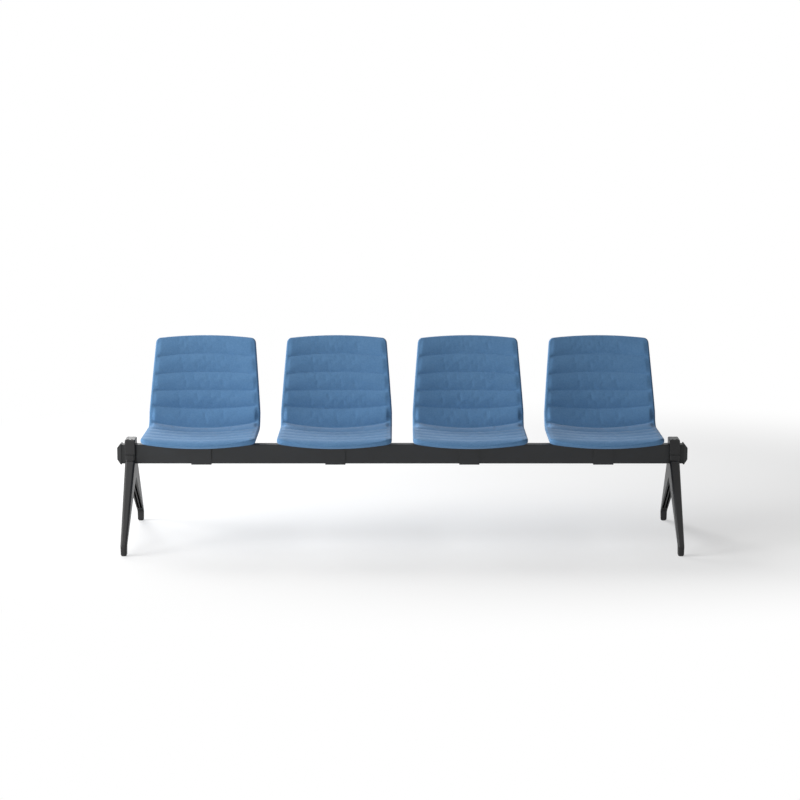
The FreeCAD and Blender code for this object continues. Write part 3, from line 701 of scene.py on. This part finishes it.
def cutBossHoles(piece):
    # the shell's four bosses come through the cover
    bm = bmesh.new()
    for x in (-cover["bossAcross"] / 2, cover["bossAcross"] / 2):
        for y in (-cover["bossApart"] / 2, cover["bossApart"] / 2):
            place = Matrix.Translation((x, y, surface.height - coverRear))
            bmesh.ops.create_cone(bm, cap_ends=True, segments=cover["cutterSides"],
                                  radius1=cover["bossHole"], radius2=cover["bossHole"],
                                  depth=cover["cutterDepth"], matrix=place)
    cutter = meshObject("boss_cutter", bm)
    cut = piece.modifiers.new("bosses", "BOOLEAN")
    cut.object = cutter
    cut.operation = "DIFFERENCE"
    cut.solver = "EXACT"
    bpy.context.view_layer.update()
    evaluated = piece.evaluated_get(bpy.context.evaluated_depsgraph_get())
    shaped = bpy.data.meshes.new_from_object(evaluated)
    piece.modifiers.clear()
    piece.data = shaped
    bpy.data.objects.remove(cutter)


rear = makeCover()
finishSoft(rear, rearWool)
cutBossHoles(rear)
print("rear cover made")


# Every seat gets the same pad, stitches and cover, moved to its place
def placeCopy(piece, name, x):
    copy = addObject(name, piece.data.copy())
    for modifier in piece.modifiers:
        added = copy.modifiers.new(modifier.name, modifier.type)
        added.levels = modifier.levels
        added.render_levels = modifier.render_levels
    copy.data.transform(Matrix.Translation((x, 0, 0)))
    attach(copy, "bench")
    return copy


for number in seatNumbers:
    low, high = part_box("seat_pad_%d" % number)
    x = (low.x + high.x) / 2
    front = placeCopy(cushion, "seat_cushion_%d" % number, x)
    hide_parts("seat_pad_%d" % number)
    back = placeCopy(rear, "rear_upholstery_%d" % number, x)
    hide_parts("seat_cover_%d" % number)
    placeCopy(stitches, "channel_stitching_%d" % number, x)
for form in (cushion, rear, stitches):
    bpy.data.objects.remove(form)
print("seats placed")

# Floor and light. The floor and the sky look white to the camera, and the floor keeps the
# shadows near the bench.
studio = {
    "floorSize": 60,
    "floorGrey": 0.9,
    "seenGrey": 0.52,
    "seenLift": 0.47,
    "shadowMiddle": (0.3, 0.9),
    "shadowReach": (3.0, 2.2),
    "shadowFade": (0.55, 1.1),
    "ambient": 0.05,
}

# Softboxes round the middle of the seats: bearing from the front towards the left and
# height as angles, distance, size and power in watts
lamps = {
    "side_softbox": {"bearing": 80, "height": 20, "distance": 8, "size": 3, "watts": 380},
    "low_softbox": {"bearing": 28, "height": 4, "distance": 8, "size": 2, "watts": 140},
    "high_softbox": {"bearing": 85, "height": 50, "distance": 5, "size": 3, "watts": 95},
    "rear_softbox": {"bearing": 150, "height": 35, "distance": 6, "size": 3, "watts": 250},
}


def seenByViewer(tree):
    # 1 for what the camera sees, straight, mirrored or through something, and 0 for light
    ray = addNode(tree, "ShaderNodeLightPath")
    straight = addNode(tree, "ShaderNodeMath", {"operation": "ADD", "use_clamp": True}, {
        0: ray.outputs["Is Camera Ray"], 1: ray.outputs["Is Glossy Ray"]})
    seen = addNode(tree, "ShaderNodeMath", {"operation": "ADD", "use_clamp": True}, {
        0: straight.outputs["Value"], 1: ray.outputs["Is Transmission Ray"]})
    return seen.outputs["Value"]


def makeFloor():
    bm = bmesh.new()
    bmesh.ops.create_grid(bm, x_segments=1, y_segments=1, size=studio["floorSize"])
    floor = meshObject("floor", bm)
    # matt white paper sweep
    material = bpy.data.materials.new("matt_white_floor")
    material.use_nodes = True
    tree = material.node_tree
    tree.nodes.clear()
    seen = seenByViewer(tree)
    place = addNode(tree, "ShaderNodeTexCoord")
    middle, reach = studio["shadowMiddle"], studio["shadowReach"]
    centred = addNode(tree, "ShaderNodeMapping", {
        "Location": (-middle[0] / reach[0], -middle[1] / reach[1], 0),
        "Scale": (1 / reach[0], 1 / reach[1], 0)}, {"Vector": place.outputs["Object"]})
    distance = addNode(tree, "ShaderNodeVectorMath", {"operation": "LENGTH"}, {
        0: centred.outputs["Vector"]})
    fade = addNode(tree, "ShaderNodeMapRange", {
        "interpolation_type": "SMOOTHSTEP", "From Min": studio["shadowFade"][0],
        "From Max": studio["shadowFade"][1]}, {"Value": distance.outputs["Value"]})
    seenGrey = addNode(tree, "ShaderNodeMapRange", {
        "To Min": studio["seenGrey"], "To Max": 0.0}, {"Value": fade.outputs["Result"]})
    grey = addNode(tree, "ShaderNodeMix", {"A": studio["floorGrey"]}, {
        "Factor": seen, "B": seenGrey.outputs["Result"]})
    seenLift = addNode(tree, "ShaderNodeMapRange", {
        "To Min": studio["seenLift"], "To Max": 1.0}, {"Value": fade.outputs["Result"]})
    lift = addNode(tree, "ShaderNodeMath", {"operation": "MULTIPLY"}, {
        0: seen, 1: seenLift.outputs["Result"]})
    matt = addNode(tree, "ShaderNodeBsdfDiffuse", {}, {"Color": grey.outputs[0]})
    glow = addNode(tree, "ShaderNodeEmission", {"Color": (1, 1, 1, 1)}, {
        "Strength": lift.outputs["Value"]})
    both = addNode(tree, "ShaderNodeAddShader", {}, {
        0: matt.outputs["BSDF"], 1: glow.outputs["Emission"]})
    addNode(tree, "ShaderNodeOutputMaterial", {}, {"Surface": both.outputs["Shader"]})
    floor.data.materials.append(material)


def makeWorld():
    world = bpy.data.worlds.new("studio")
    bpy.context.scene.world = world
    world.use_nodes = True
    tree = world.node_tree
    tree.nodes.clear()
    strength = addNode(tree, "ShaderNodeMapRange", {"To Min": studio["ambient"], "To Max": 1.0}, {
        "Value": seenByViewer(tree)})
    sky = addNode(tree, "ShaderNodeBackground", {"Color": (1, 1, 1, 1)}, {
        "Strength": strength.outputs["Result"]})
    addNode(tree, "ShaderNodeOutputWorld", {}, {"Surface": sky.outputs["Background"]})


def addSoftbox(name, lamp):
    light = bpy.data.lights.new(name, "AREA")
    light.size = lamp["size"]
    light.energy = lamp["watts"]
    box = addObject(name, light)
    bearing, height = math.radians(lamp["bearing"]), math.radians(lamp["height"])
    toLamp = Vector((-math.sin(bearing) * math.cos(height),
                     -math.cos(bearing) * math.cos(height), math.sin(height)))
    box.location = Vector((0, 0, surface.height)) + toLamp * lamp["distance"]
    box.rotation_euler = toLamp.to_track_quat("Z", "Y").to_euler()


makeFloor()
makeWorld()
for name, lamp in lamps.items():
    addSoftbox(name, lamp)
print("studio set")

# The camera looks slightly down at the seats' fronts from in front of their middle
camera = {
    "place": (-0.0097, -9.4252, 2.2639),
    "pitch": 10.147,
    "focalPixels": 2338.67,
    "imagePixels": 800,
    "sensor": 36,
}
lens = bpy.data.cameras.new("camera")
lens.sensor_width = camera["sensor"]
lens.lens = camera["focalPixels"] * camera["sensor"] / camera["imagePixels"]
viewer = addObject("camera", lens)
viewer.location = camera["place"]
viewer.rotation_euler = (math.radians(90 - camera["pitch"]), 0, 0)
bpy.context.scene.camera = viewer
bpy.context.scene.view_settings.view_transform = "Standard"
print("camera set")
